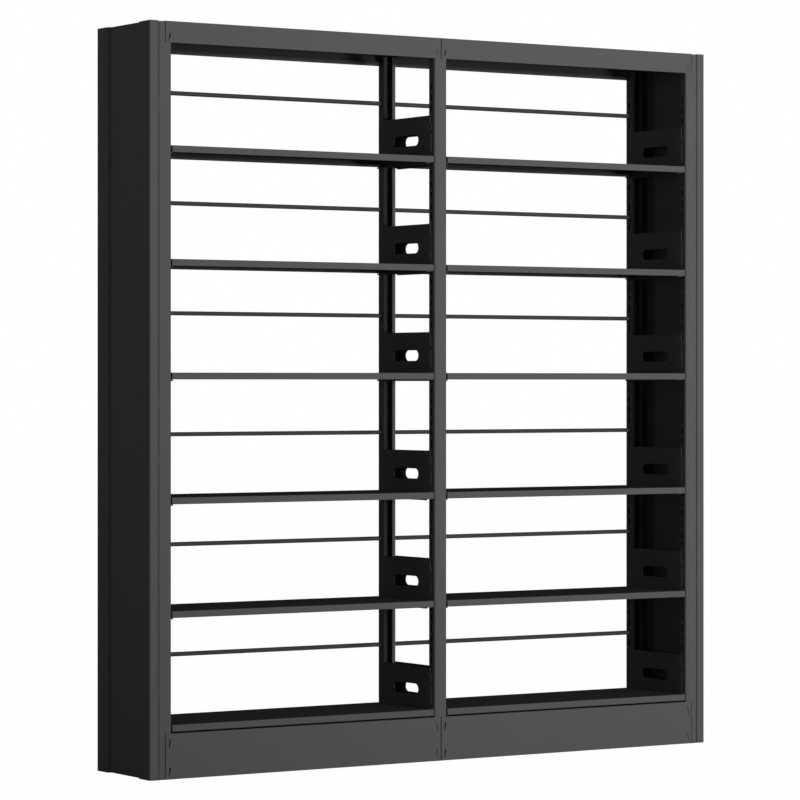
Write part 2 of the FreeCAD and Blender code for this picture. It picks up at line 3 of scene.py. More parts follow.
import bpy
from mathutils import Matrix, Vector


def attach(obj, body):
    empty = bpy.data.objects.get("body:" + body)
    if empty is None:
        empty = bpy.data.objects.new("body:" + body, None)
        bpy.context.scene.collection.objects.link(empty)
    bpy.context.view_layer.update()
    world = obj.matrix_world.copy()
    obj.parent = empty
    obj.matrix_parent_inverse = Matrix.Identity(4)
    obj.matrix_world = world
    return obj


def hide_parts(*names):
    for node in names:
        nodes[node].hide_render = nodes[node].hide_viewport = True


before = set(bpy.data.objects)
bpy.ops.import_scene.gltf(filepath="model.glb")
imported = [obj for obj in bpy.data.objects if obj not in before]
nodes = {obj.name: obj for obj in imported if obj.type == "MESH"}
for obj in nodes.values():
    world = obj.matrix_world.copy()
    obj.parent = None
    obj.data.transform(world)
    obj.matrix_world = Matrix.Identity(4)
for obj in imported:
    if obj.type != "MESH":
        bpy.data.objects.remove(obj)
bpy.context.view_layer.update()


# ---- Slotted columns ------------------------------------------------------------------------
# Six lipped C sections, rolled from 1.5 mm steel strip with two broad show corners. Before that,
# a ladder of slots at 30 mm is punched up both side walls, and the show faces are opened for the
# covers and kick plates. Powder coated matt dark grey.

def mm(size):
    """A size of this script, in millimetres, as Blender's metres."""
    return size / 1000


def start_from_plane(name, centre, size, turn=(0, 0, 0)):
    """A flat sheet at its place, its first side along the shelves unless it is turned."""
    bpy.ops.object.select_all(action="DESELECT")
    bpy.ops.mesh.primitive_plane_add(size=1, location=[mm(c) for c in centre],
                                     rotation=[math.radians(angle) for angle in turn])
    piece = bpy.context.object
    piece.name = piece.data.name = name
    piece.scale = (mm(size[0]), mm(size[1]), 1)
    bpy.ops.object.transform_apply(location=True, rotation=True, scale=True)
    return piece


def take_up(piece):
    """Make a piece the only selected one and the active one."""
    bpy.ops.object.select_all(action="DESELECT")
    piece.select_set(True)
    bpy.context.view_layer.objects.active = piece


def pick(piece, kind, test):
    """Select the faces, edges or corners of a piece in edit mode whose middle passes the test."""
    bpy.ops.object.mode_set(mode="EDIT")
    bpy.ops.mesh.select_mode(type={"faces": "FACE", "edges": "EDGE", "corners": "VERT"}[kind])
    bpy.ops.mesh.select_all(action="DESELECT")
    bpy.ops.object.mode_set(mode="OBJECT")
    mesh = piece.data
    if kind == "faces":
        for face in mesh.polygons:
            face.select = bool(test(face.center * 1000, face.normal))
    elif kind == "edges":
        for edge in mesh.edges:
            one, other = (mesh.vertices[end].co * 1000 for end in edge.vertices)
            edge.select = bool(test((one + other) / 2, (other - one).normalized()))
    else:
        for corner in mesh.vertices:
            corner.select = bool(test(corner.co * 1000, None))
    bpy.ops.object.mode_set(mode="EDIT")


def near(value, target, slack=0.05):
    """True where a value lies within some slack of its target."""
    return abs(value - target) < slack


def along(way, axis):
    """True for an edge that runs along the x, y or z axis."""
    return abs(getattr(way, axis)) > 0.9


def pull(x=0, y=0, z=0):
    """Fold a new strip of sheet out of the selected edges."""
    bpy.ops.mesh.extrude_edges_move(TRANSFORM_OT_translate={"value": (mm(x), mm(y), mm(z))})


def bend(radius, steps):
    """Round the selected edges."""
    bpy.ops.mesh.bevel(offset=mm(radius), segments=steps, affect="EDGES")


def cut_corners(size, steps):
    """Cut or round the selected corners within their sheet."""
    bpy.ops.mesh.bevel(offset=mm(size), segments=steps, affect="VERTICES")


def turn_over(piece):
    """Turn all the faces of a sheet the other way."""
    pick(piece, "faces", lambda at, way: True)
    bpy.ops.mesh.flip_normals()


def thicken(piece, sheet):
    """Give the skin its sheet thickness on the inner side, and smooth its bends."""
    bpy.ops.object.mode_set(mode="OBJECT")
    take_up(piece)
    bpy.ops.object.modifier_add(type="SOLIDIFY")
    wall = piece.modifiers[-1]
    wall.thickness = mm(sheet)
    wall.offset = -1
    wall.use_even_offset = True
    bpy.ops.object.modifier_apply(modifier=wall.name)
    smooth_bends(piece)


def smooth_bends(piece):
    """Round shading over the bends, flat shading on the flats beside them."""
    bpy.ops.object.shade_smooth_by_angle(angle=math.radians(35))
    bpy.ops.object.modifier_add(type="WEIGHTED_NORMAL")
    flats = piece.modifiers[-1]
    flats.keep_sharp = True
    bpy.ops.object.modifier_apply(modifier=flats.name)


def split(axis, place):
    """Cut the selected faces by the plane that stands across an axis at a place."""
    bpy.ops.mesh.bisect(plane_co=[mm(place)] * 3,
                        plane_no=[float(name == axis) for name in "xyz"])


def copy_of(piece, name, shift=(0, 0, 0), half_turn=False):
    """The same piece elsewhere, with its own mesh and its place in that mesh."""
    twin = piece.copy()
    twin.data = piece.data.copy()
    twin.name = twin.data.name = name
    bpy.context.collection.objects.link(twin)
    take_up(twin)
    twin.rotation_euler = (0, 0, math.pi if half_turn else 0)
    twin.location = [mm(step) for step in shift]
    bpy.ops.object.transform_apply(location=True, rotation=True, scale=True)
    return twin


def powder_skin():
    """Shader group for a baked powder coat: cloudy tint, uneven sheen and orange peel."""
    group = bpy.data.node_groups.new("powder_skin", "ShaderNodeTree")
    for label, kind in (("Colour", "NodeSocketColor"), ("Cloud", "NodeSocketFloat"),
                        ("Grain", "NodeSocketFloat"), ("Sheen", "NodeSocketFloat"),
                        ("Peel Size", "NodeSocketFloat")):
        group.interface.new_socket(label, in_out="INPUT", socket_type=kind)
    for label, kind in (("Colour", "NodeSocketColor"), ("Roughness", "NodeSocketFloat"),
                        ("Height", "NodeSocketFloat")):
        group.interface.new_socket(label, in_out="OUTPUT", socket_type=kind)
    add, join = group.nodes.new, group.links.new
    given, result = add("NodeGroupInput"), add("NodeGroupOutput")
    place = add("ShaderNodeTexCoord")

    def noise(scale, detail):
        texture = add("ShaderNodeTexNoise")
        texture.inputs["Detail"].default_value = detail
        join(place.outputs["Object"], texture.inputs["Vector"])
        if isinstance(scale, float):
            texture.inputs["Scale"].default_value = scale
        else:
            join(scale, texture.inputs["Scale"])
        return texture.outputs["Fac"]

    def around_one(wave, amount):
        """1 plus the noise, swung by an amount either way."""
        centre = add("ShaderNodeMath")
        centre.operation = "SUBTRACT"
        centre.inputs[1].default_value = 0.5
        join(wave, centre.inputs[0])
        swing = add("ShaderNodeMath")
        swing.operation = "MULTIPLY_ADD"
        swing.inputs[2].default_value = 1
        join(centre.outputs[0], swing.inputs[0])
        join(amount, swing.inputs[1])
        return swing.outputs[0]

    def product(one, other):
        times = add("ShaderNodeMath")
        times.operation = "MULTIPLY"
        join(one, times.inputs[0])
        join(other, times.inputs[1])
        return times.outputs[0]

    cloud = around_one(noise(scale=5.0, detail=6), given.outputs["Cloud"])
    grain = around_one(noise(scale=900.0, detail=2), given.outputs["Grain"])
    tint = add("ShaderNodeVectorMath")
    tint.operation = "SCALE"
    join(given.outputs["Colour"], tint.inputs[0])
    join(product(cloud, grain), tint.inputs["Scale"])
    join(tint.outputs["Vector"], result.inputs["Colour"])
    join(product(given.outputs["Sheen"], cloud), result.inputs["Roughness"])
    join(noise(scale=given.outputs["Peel Size"], detail=2), result.inputs["Height"])
    return group


skin = powder_skin()


def powder_coat(name, shade, cloud, grain, sheen, peel):
    """A grey coat, a trace bluish, with the peel as a bump a few hundredths of a millimetre high."""
    coat = bpy.data.materials.new(name)
    coat.use_nodes = True
    tree = coat.node_tree
    shader = tree.nodes["Principled BSDF"]
    shader.inputs["Specular IOR Level"].default_value = 0
    film = tree.nodes.new("ShaderNodeGroup")
    film.node_tree = skin
    for label, amount in (("Colour", (shade, shade, shade * 1.01, 1)), ("Cloud", cloud),
                          ("Grain", grain), ("Sheen", sheen), ("Peel Size", peel)):
        film.inputs[label].default_value = amount
    bump = tree.nodes.new("ShaderNodeBump")
    bump.inputs["Strength"].default_value = 0.25
    bump.inputs["Distance"].default_value = mm(0.05)
    tree.links.new(film.outputs["Height"], bump.inputs["Height"])
    tree.links.new(film.outputs["Colour"], shader.inputs["Base Color"])
    tree.links.new(film.outputs["Roughness"], shader.inputs["Roughness"])
    tree.links.new(bump.outputs["Normal"], shader.inputs["Normal"])
    return coat


def finish(piece, coat):
    piece.data.materials.clear()
    piece.data.materials.append(coat)


frame_coat = powder_coat("frame_powder_coat", shade=0.1, cloud=0.05, grain=0.08, sheen=0.6, peel=320)

BAY = 872
HEIGHT = 2000
HALF_COLUMN = 20
SHOW_FACE = -146.8
COLUMN_BACK = -115.8
COLUMN_FOOT = 2.5
COLUMN_TOP = 1998.8
COLUMN_SHEET = 1.5
BEND = 6
LIP = 11.5
LIP_BEND = 1.8
WALL_FRONT = SHOW_FACE + BEND
WALL_BACK = COLUMN_BACK - LIP_BEND
WALL_MIDDLE = (WALL_FRONT + WALL_BACK) / 2

PITCH = 30
SLOTS = 58
LADDER_START = 140.5
LADDER_TOP = LADDER_START + PITCH * SLOTS
FIRST_SLOT = LADDER_START + PITCH / 2
SLOT_LINE = 128
SLOT_WIDE = 6.4
SLOT_TALL = 18
SLOT_CORNER = 0.8
SLOT_MARGIN = 2
# The seat of a hook lies this far below the middle of its slot.
SLOT_SEAT = 8.3

column = start_from_plane("column_blank", (0, SHOW_FACE, FIRST_SLOT), (2 * HALF_COLUMN, PITCH),
                          (90, 0, 0))
for side in (-1, 1):
    edge = side * HALF_COLUMN
    pick(column, "edges", lambda at, way: near(at.x, edge) and near(at.y, SHOW_FACE))
    pull(y=COLUMN_BACK - SHOW_FACE)
    pick(column, "edges", lambda at, way: near(at.x, edge) and near(at.y, COLUMN_BACK))
    pull(x=-LIP * side)
for line, radius, steps in ((SHOW_FACE, BEND, 6), (COLUMN_BACK, LIP_BEND, 3)):
    pick(column, "edges", lambda at, way: near(abs(at.x), HALF_COLUMN) and near(at.y, line)
         and along(way, "z"))
    bend(radius, steps)
for side in (-1, 1):
    edge = side * HALF_COLUMN
    pick(column, "faces", lambda at, way: near(at.x, edge) and near(at.y, WALL_MIDDLE, 1))
    bpy.ops.mesh.inset(thickness=mm(SLOT_MARGIN))
    bpy.ops.transform.resize(
        value=(1, SLOT_WIDE / (WALL_BACK - WALL_FRONT - 2 * SLOT_MARGIN),
               SLOT_TALL / (PITCH - 2 * SLOT_MARGIN)),
        center_override=(mm(edge), mm(WALL_MIDDLE), mm(FIRST_SLOT)))
    bpy.ops.transform.translate(value=(0, mm(-SLOT_LINE - WALL_MIDDLE), 0))
    pick(column, "faces", lambda at, way: near(at.x, edge) and near(at.y, -SLOT_LINE, 0.3)
         and near(at.z, FIRST_SLOT, 0.3))
    bpy.ops.mesh.delete(type="ONLY_FACE")
    pick(column, "corners", lambda at, way: near(at.x, edge)
         and near(abs(at.y + SLOT_LINE), SLOT_WIDE / 2)
         and near(abs(at.z - FIRST_SLOT), SLOT_TALL / 2))
    cut_corners(SLOT_CORNER, steps=2)
bpy.ops.object.mode_set(mode="OBJECT")
bpy.ops.object.modifier_add(type="ARRAY")
ladder = column.modifiers[-1]
ladder.count = SLOTS
ladder.use_relative_offset = False
ladder.use_constant_offset = True
ladder.constant_offset_displace = (0, 0, mm(PITCH))
ladder.use_merge_vertices = True
ladder.merge_threshold = mm(0.01)
bpy.ops.object.modifier_apply(modifier=ladder.name)
for ladder_end, column_end in ((LADDER_START, COLUMN_FOOT), (LADDER_TOP, COLUMN_TOP)):
    pick(column, "edges", lambda at, way: near(at.z, ladder_end) and abs(way.z) < 0.1)
    pull(z=column_end - ladder_end)
bpy.ops.object.mode_set(mode="OBJECT")

# Level and height of the openings in kick plates and covers, whose tongues hook into the webs,
# and the slots and slits of the webs, counted from the column's middle line.
KICK_OPENINGS = ((19.5, 23), (95, 23))
COVER_OPENING = (1959, 17)
HOOK_PLAY = 1.5
WEB_SLOT_START = 9
WEB_SLOT_ENDS = (("front", 18.3), ("rear", 14.4))
SLIT = (-0.5, 2.6)
KICK_SLIT_TOP = 122
COVER_SLIT_FOOT = 1945.5


def open_web(blank, name, sides, slot_end):
    """Cut a show face for covers and kick plates: slots for hooks, slits for turned-in ends."""
    cut = copy_of(blank, name)
    for level, tall in (*KICK_OPENINGS, COVER_OPENING):
        for line in (level - tall / 2 - HOOK_PLAY, level + tall / 2 + HOOK_PLAY):
            pick(cut, "faces", lambda at, way: at.y < WALL_FRONT
                 and (at.z < LADDER_START or at.z > LADDER_TOP))
            split("z", line)
        for side in sides:
            for line in (WEB_SLOT_START, slot_end):
                pick(cut, "faces", lambda at, way: at.y < WALL_FRONT and near(at.z, level, 0.5))
                split("x", side * line)
            pick(cut, "faces", lambda at, way: at.y < WALL_FRONT and near(at.z, level, 0.5)
                 and WEB_SLOT_START < at.x * side < slot_end)
            bpy.ops.mesh.delete(type="FACE")
    for low, high, end in ((0, KICK_SLIT_TOP, KICK_SLIT_TOP),
                           (COVER_SLIT_FOOT, HEIGHT, COVER_SLIT_FOOT)):
        pick(cut, "faces", lambda at, way: near(at.y, SHOW_FACE)
             and (at.z < LADDER_START or at.z > LADDER_TOP))
        split("z", end)
        for side in sides:
            for line in SLIT:
                pick(cut, "faces", lambda at, way: near(at.y, SHOW_FACE) and low < at.z < high
                     and abs(at.x) < WEB_SLOT_START)
                split("x", side * line)
        pick(cut, "faces", lambda at, way: near(at.y, SHOW_FACE) and low < at.z < high
             and any(SLIT[0] < at.x * side < SLIT[1] for side in sides))
        bpy.ops.mesh.delete(type="FACE")
    thicken(cut, COLUMN_SHEET)
    return cut


webs = {}
for face, slot_end in WEB_SLOT_ENDS:
    turn = 1 if face == "front" else -1
    webs["left", face] = open_web(column, f"web_left_{face}", (turn,), slot_end)
    webs["middle", face] = open_web(column, f"web_middle_{face}", (-1, 1), slot_end)
    webs["right", face] = open_web(column, f"web_right_{face}", (-turn,), slot_end)
for side, place in (("left", -BAY), ("middle", 0), ("right", BAY)):
    for face in ("front", "rear"):
        slotted = copy_of(webs[side, face], f"column_{side}_{face}_slotted", (place, 0, 0),
                          face == "rear")
        finish(slotted, frame_coat)
        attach(slotted, "rack")
        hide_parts(f"column_{side}_{face}")
for blank in (column, *webs.values()):
    bpy.data.objects.remove(blank)


# ---- Feet and frame ties --------------------------------------------------------------------
# Black moulded plastic caps stand under the columns. Short steel channels tie the two columns
# of a frame at the foot and at the top, coated with the columns.

def moulded_plastic():
    """Near black, with the fine grain of a spark-eroded mould."""
    plastic = bpy.data.materials.new("foot_moulded_plastic")
    plastic.use_nodes = True
    tree = plastic.node_tree
    shader = tree.nodes["Principled BSDF"]
    shader.inputs["Base Color"].default_value = (0.02, 0.02, 0.02, 1)
    shader.inputs["Specular IOR Level"].default_value = 0.2
    place = tree.nodes.new("ShaderNodeTexCoord")
    spark = tree.nodes.new("ShaderNodeTexNoise")
    spark.inputs["Scale"].default_value = 1200
    spark.inputs["Detail"].default_value = 2
    ridge = tree.nodes.new("ShaderNodeBump")
    ridge.inputs["Strength"].default_value = 0.4
    ridge.inputs["Distance"].default_value = mm(0.08)
    spread = tree.nodes.new("ShaderNodeMapRange")
    spread.inputs["To Min"].default_value = 0.5
    spread.inputs["To Max"].default_value = 0.75
    tree.links.new(place.outputs["Object"], spark.inputs["Vector"])
    tree.links.new(spark.outputs["Fac"], ridge.inputs["Height"])
    tree.links.new(spark.outputs["Fac"], spread.inputs["Value"])
    tree.links.new(spread.outputs["Result"], shader.inputs["Roughness"])
    tree.links.new(ridge.outputs["Normal"], shader.inputs["Normal"])
    return plastic


finish(nodes["foot_caps"], moulded_plastic())
for side in ("left", "middle", "right"):
    for level in ("lower", "upper"):
        finish(nodes[f"frame_tie_{side}_{level}"], frame_coat)


# ---- End panels -----------------------------------------------------------------------------
# Each end is closed by a pan of 1 mm sheet with a raised strip along both edges, a sunk field
# between them and a turned-in rim, on the left one a little narrower. Lugs on the rim hook into
# the column slots.

panel_coat = powder_coat("panel_powder_coat", shade=0.1, cloud=0.06, grain=0.06, sheen=0.6, peel=280)

HOOK_SHEET = 1.2
HOOK_LINE = SLOT_LINE + HOOK_SHEET / 2
BEHIND_WALL = 2
DROP_WIDE = 2.2
DROP_LONG = 7.8
NECK_LONG = 3.4
NECK_TALL = 8


def drop_hook(wall, side, seat, half_turn=False):
    """A hook whose neck lies on its seat and whose drop hangs behind the wall at a place."""
    hook = start_from_plane(
        "hook", (-BEHIND_WALL - DROP_WIDE / 2, side * HOOK_LINE, seat - DROP_LONG / 2),
        (DROP_WIDE, DROP_LONG), (90, 0, 0))
    pick(hook, "edges", lambda at, way: near(at.z, seat))
    pull(z=NECK_TALL)
    pick(hook, "edges", lambda at, way: near(at.x, -BEHIND_WALL) and at.z > seat)
    pull(x=NECK_LONG)
    if side > 0:
        turn_over(hook)
    thicken(hook, HOOK_SHEET)
    placed = copy_of(hook, "placed_hook", (wall, 0, 0), half_turn)
    bpy.data.objects.remove(hook)
    return placed


def join_to(piece, *others):
    """Make others a part of a piece."""
    take_up(piece)
    for other in others:
        other.select_set(True)
    bpy.ops.object.join()


HALF_DEPTH = 148
OUTSIDE = -918
RIM = -890.6
RIM_LIP = 3
RIM_BEND = 1.4
# The rims of the left panel reach this much less far over the columns.
LEFT_RIM_SHORTER = 2.4
OUTER_BEND = 5
FIELD_BEND = 3
EDGE_STRIP = 62
SLOPE = 4
SUNK = 10
EDGE_STRIP_END = HALF_DEPTH - EDGE_STRIP
FIELD_END = EDGE_STRIP_END - SLOPE
PANEL_SHEET = 1
LUG_LEVELS = [FIRST_SLOT + PITCH * steps for steps in (2, 28, 54)]
LUG_TALL = 24
LUG_WIDE = 20
LUG_LINE = 137.4
COLUMN_WALL = -BAY - HALF_COLUMN
LUG_FACE = COLUMN_WALL - 0.3

panel = start_from_plane("end_panel_left_pan", ((RIM + OUTSIDE) / 2, -HALF_DEPTH, HEIGHT / 2),
                         (RIM - OUTSIDE, HEIGHT), (90, 0, 0))
pick(panel, "edges", lambda at, way: near(at.x, OUTSIDE))
pull(y=EDGE_STRIP)
pull(x=SUNK, y=SLOPE)
pull(y=2 * FIELD_END)
pull(x=-SUNK, y=SLOPE)
pull(y=EDGE_STRIP)
pull(x=RIM - OUTSIDE)
for side in (-1, 1):
    pick(panel, "edges", lambda at, way: near(at.x, RIM) and near(at.y, side * HALF_DEPTH))
    pull(y=-RIM_LIP * side)
for x, y, radius, steps in (
        (OUTSIDE, HALF_DEPTH, OUTER_BEND, 6), (OUTSIDE, EDGE_STRIP_END, FIELD_BEND, 3),
        (OUTSIDE + SUNK, FIELD_END, FIELD_BEND, 3), (RIM, HALF_DEPTH, RIM_BEND, 4)):
    pick(panel, "edges", lambda at, way: near(at.x, x) and near(abs(at.y), y) and along(way, "z"))
    bend(radius, steps)
for level in (0, HEIGHT):
    pick(panel, "edges", lambda at, way: near(at.z, level) and abs(way.z) < 0.1)
    bpy.ops.mesh.edge_face_add()
pick(panel, "faces", lambda at, way: True)
bpy.ops.mesh.normals_make_consistent(inside=False)
bpy.ops.object.mode_set(mode="OBJECT")
field = max(panel.data.polygons, key=lambda face: face.area)
if field.normal.x > 0:
    turn_over(panel)
thicken(panel, PANEL_SHEET)
for level in LUG_LEVELS:
    for side in (-1, 1):
        lug = start_from_plane("lug", (LUG_FACE, side * LUG_LINE, level), (LUG_TALL, LUG_WIDE),
                               (0, 90, 0))
        thicken(lug, PANEL_SHEET)
        join_to(panel, lug, drop_hook(COLUMN_WALL, side, level - SLOT_SEAT, True))
panels = {"left": panel, "right": copy_of(panel, "end_panel_right_pan", half_turn=True)}
take_up(panel)
pick(panel, "corners", lambda at, way: at.x > RIM - RIM_BEND - 0.2
     and abs(at.y) > HALF_DEPTH - RIM_LIP - 0.5)
bpy.ops.transform.translate(value=(mm(-LEFT_RIM_SHORTER), 0, 0))
bpy.ops.object.mode_set(mode="OBJECT")
for side, pan in panels.items():
    finish(pan, panel_coat)
    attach(pan, "rack")
    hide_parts(f"end_panel_{side}")


# ---- Top covers -----------------------------------------------------------------------------
# Inverted trays of 1 mm sheet over each bay, with hemmed fascias and deburred ends. A tongue
# lanced out of the fascia beside each column is pushed back as the hook it hangs on.

FASCIA = 57
FASCIA_FOOT = HEIGHT - FASCIA
COVER_END = BAY / 2 - 1
# The cut of a fascia's lower corners along its foot. It stops 1.5 mm up, at the tongue's field.
CORNER_CUT = 4.5
TOP_BEND = 2
HEM_BEND = 1.2
HEM_END = 414
HEM_DEEP = 15
HEM_TALL = 11
HEM_LINE = -HALF_DEPTH + HEM_DEEP
HEM_WEB = 13.4
END_TURN = 3.2
END_BEND = 1.3

# Middle and half width of the slanted opening at its foot and at its head.
OPENING_FOOT = (424.5, 1.25)
OPENING_HEAD = (421.1, 2.1)
OPENING_MIDDLE = (OPENING_FOOT[0] + OPENING_HEAD[0]) / 2
TONGUE_LINE = OPENING_MIDDLE + (OPENING_FOOT[1] + OPENING_HEAD[1]) / 2
# How far the tongue leads towards the middle of the bay and back from the plate.
TONGUE_BEND = (2.2, 3.5)
TONGUE_HOOK = (-0.6, 8)
# An opening starts as an upright one, taller by twice the spare, in the middle of a field that
# reaches from the hem's end to the cut's end.
CUT_END = 429.5
CUT_MARGIN = 4
CUT_SPARE = 2


def lance_tongue(plate, side, level, tall):
    """Cut a slanted opening near one end of an upright plate, and bend its tongue back."""
    middle = side * (HEM_END + CUT_END) / 2
    half_wide = (CUT_END - HEM_END) / 2 - CUT_MARGIN
    half_tall = tall / 2 + CUT_SPARE
    for axis, line in (("x", side * HEM_END), ("x", side * CUT_END),
                       ("z", level - half_tall - CUT_MARGIN), ("z", level + half_tall + CUT_MARGIN)):
        pick(plate, "faces", lambda at, way: True)
        split(axis, line)
    pick(plate, "faces", lambda at, way: near(at.x, middle, 1) and near(at.z, level, 1))
    bpy.ops.mesh.inset(thickness=mm(CUT_MARGIN))
    for up, (centre, half) in ((-1, OPENING_FOOT), (1, OPENING_HEAD)):
        for out in (-1, 1):
            start = middle + out * half_wide
            pick(plate, "corners", lambda at, way: near(at.x, start)
                 and near(at.z, level + up * half_tall))
            bpy.ops.transform.translate(value=(
                mm(side * centre + out * half - start), 0, mm(-CUT_SPARE * up)))
    pick(plate, "faces", lambda at, way: near(at.x, side * OPENING_MIDDLE, 0.6)
         and near(at.z, level, 1.5))
    bpy.ops.mesh.delete(type="ONLY_FACE")
    pick(plate, "edges", lambda at, way: near(at.x, side * TONGUE_LINE) and near(at.z, level, 0.1)
         and along(way, "z"))
    for inward, back in (TONGUE_BEND, TONGUE_HOOK):
        pull(x=-inward * side, y=back)


def turn_in_ends(plate, low, high):
    """Fold the two ends of an upright plate back until they bear on the columns."""
    for side in (-1, 1):
        def on_end(at, way):
            return (near(at.x, side * COVER_END) and near(at.y, -HALF_DEPTH)
                    and low < at.z < high and abs(way.x) < 0.1)
        pick(plate, "edges", on_end)
        pull(y=END_TURN)
        pick(plate, "edges", on_end)
        bend(END_BEND, steps=4)


def close_hems(piece, low, high):
    """Upright webs that close the ends of a plate's hems."""
    for side in (-1, 1):
        web = start_from_plane(
            "web", (side * (HEM_END - 0.1), -HALF_DEPTH + PANEL_SHEET + HEM_WEB / 2, (low + high) / 2),
            (high - low, HEM_WEB), (0, 90, 0))
        if side < 0:
            turn_over(web)
        thicken(web, PANEL_SHEET)
        join_to(piece, web)


cover_half = start_from_plane("cover_half", (0, -HALF_DEPTH, HEIGHT - FASCIA / 2),
                              (2 * COVER_END, FASCIA), (90, 0, 0))
for side in (-1, 1):
    lance_tongue(cover_half, side, *COVER_OPENING)
pick(cover_half, "corners", lambda at, way: near(abs(at.x), COVER_END) and near(at.z, FASCIA_FOOT))
cut_corners(CORNER_CUT, steps=1)
pick(cover_half, "edges", lambda at, way: near(at.z, FASCIA_FOOT) and along(way, "x")
     and abs(at.x) < HEM_END)
pull(y=HEM_DEEP)
pull(z=HEM_TALL)
pick(cover_half, "edges", lambda at, way: near(at.z, HEIGHT) and along(way, "x"))
pull(y=HALF_DEPTH)
for y, z, radius in ((-HALF_DEPTH, HEIGHT, TOP_BEND), (-HALF_DEPTH, FASCIA_FOOT, HEM_BEND),
                     (HEM_LINE, FASCIA_FOOT, HEM_BEND)):
    pick(cover_half, "edges", lambda at, way: near(at.y, y) and near(at.z, z) and along(way, "x")
         and (z == HEIGHT or abs(at.x) < HEM_END))
    bend(radius, steps=4)
turn_in_ends(cover_half, FASCIA_FOOT + CORNER_CUT, HEIGHT - TOP_BEND)
bpy.ops.object.mode_set(mode="OBJECT")
other_half = copy_of(cover_half, "other_half", half_turn=True)
join_to(cover_half, other_half)
pick(cover_half, "corners", lambda at, way: near(at.y, 0))
bpy.ops.mesh.remove_doubles(threshold=mm(0.02))
thicken(cover_half, PANEL_SHEET)
close_hems(cover_half, FASCIA_FOOT + PANEL_SHEET, HEIGHT - PANEL_SHEET)
for bay, middle in (("left", -BAY / 2), ("right", BAY / 2)):
    cover = copy_of(cover_half, f"top_cover_{bay}_folded", (middle, 0, 0))
    finish(cover, panel_coat)
    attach(cover, "rack")
    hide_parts(f"top_cover_{bay}")
bpy.data.objects.remove(cover_half)


# ---- Kick plates ----------------------------------------------------------------------------
# Plates of 1 mm sheet with hems at the top and the bottom, made and hung like the fascias of
# the top covers.

KICK_TOP = 121

kick = start_from_plane("kick_plate", (0, -HALF_DEPTH, KICK_TOP / 2), (2 * COVER_END, KICK_TOP),
                        (90, 0, 0))
for side in (-1, 1):
    for level, tall in KICK_OPENINGS:
        lance_tongue(kick, side, level, tall)
for level, back in ((0, HEM_TALL), (KICK_TOP, -HEM_TALL)):
    pick(kick, "edges", lambda at, way: near(at.z, level) and along(way, "x")
         and abs(at.x) < HEM_END)
    pull(y=HEM_DEEP)
    pull(z=back)
for y in (-HALF_DEPTH, HEM_LINE):
    for z in (0, KICK_TOP):
        pick(kick, "edges", lambda at, way: near(at.y, y) and near(at.z, z) and along(way, "x")
             and abs(at.x) < HEM_END)
        bend(HEM_BEND, steps=4)
turn_in_ends(kick, 0, KICK_TOP)
thicken(kick, PANEL_SHEET)
close_hems(kick, PANEL_SHEET, KICK_TOP - PANEL_SHEET)
for bay, middle in (("left", -BAY / 2), ("right", BAY / 2)):
    for face in ("front", "rear"):
        plate = copy_of(kick, f"kick_plate_{bay}_{face}_folded", (middle, 0, 0), face == "rear")
        finish(plate, panel_coat)
        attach(plate, "rack")
        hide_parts(f"kick_plate_{bay}_{face}")
bpy.data.objects.remove(kick)


# ---- Shelf brackets -------------------------------------------------------------------------
# Each shelf lies on a pair of pressed plates of 1.2 mm steel with a hand hole in a dished
# surround, a set-in strip at the top and a ledge at the foot. Hooks hang them in the slots.

shelf_coat = powder_coat("shelf_powder_coat", shade=0.1, cloud=0.05, grain=0.08, sheen=0.6, peel=320)

INNER = 1.5
HALF_PLATE = HOOK_LINE
PLATE_FOOT = -18.3
PLATE_TOP = 113.5
PLATE_SHEET = 1.2
STRIP_FOOT = 89.5
STRIP_STEP = 1.4
STRIP_SLOPE = 2
LEDGE = 12.8
LEDGE_LIP = 4.2
LEDGE_BEND = 1.5
HOLE_LEVEL = 49
HALF_STRAIGHT = 47.5
RING_CORNERS = 26
# Radius of each ring around the hole's ends, and how far it is sunk. The first is on the plate.
DISH = ((20.5, 0), (19, 0.25), (16.2, 1.1), (15, 1.3))
FIRST_DECK = 143
FIRST_SEAT = FIRST_SLOT - SLOT_SEAT - FIRST_DECK

plate = None
for radius, sunk in DISH:
    bpy.ops.object.select_all(action="DESELECT")
    bpy.ops.mesh.primitive_circle_add(vertices=RING_CORNERS, radius=mm(radius), fill_type="NOTHING",
                                      location=(mm(INNER - sunk), 0, mm(HOLE_LEVEL)),
                                      rotation=(0, math.pi / 2, 0))
    ring = bpy.context.object
    bpy.ops.object.transform_apply(location=True, rotation=True, scale=True)
    for side in (-1, 1):
        pick(ring, "corners", lambda at, way: at.y * side > 0)
        bpy.ops.transform.translate(value=(0, mm(side * HALF_STRAIGHT), 0))
    bpy.ops.object.mode_set(mode="OBJECT")
    if plate:
        join_to(plate, ring)
    else:
        plate = ring
pick(plate, "edges", lambda at, way: True)
bpy.ops.mesh.bridge_edge_loops()
bpy.ops.object.mode_set(mode="OBJECT")
border = start_from_plane("border", (INNER, 0, (PLATE_FOOT + STRIP_FOOT) / 2),
                          (STRIP_FOOT - PLATE_FOOT, 2 * HALF_PLATE), (0, 90, 0))
pick(border, "faces", lambda at, way: True)
bpy.ops.mesh.delete(type="ONLY_FACE")
bpy.ops.object.mode_set(mode="OBJECT")
join_to(plate, border)
pick(plate, "edges", lambda at, way: near(at.x, INNER, 0.01) and (
    near(abs(at.y), HALF_PLATE) or near(at.z, PLATE_FOOT) or near(at.z, STRIP_FOOT)
    or math.hypot(max(0, abs(at.y) - HALF_STRAIGHT), at.z - HOLE_LEVEL) > DISH[0][0] - 0.5))
bpy.ops.mesh.fill()
pick(plate, "edges", lambda at, way: near(at.z, STRIP_FOOT) and along(way, "y"))
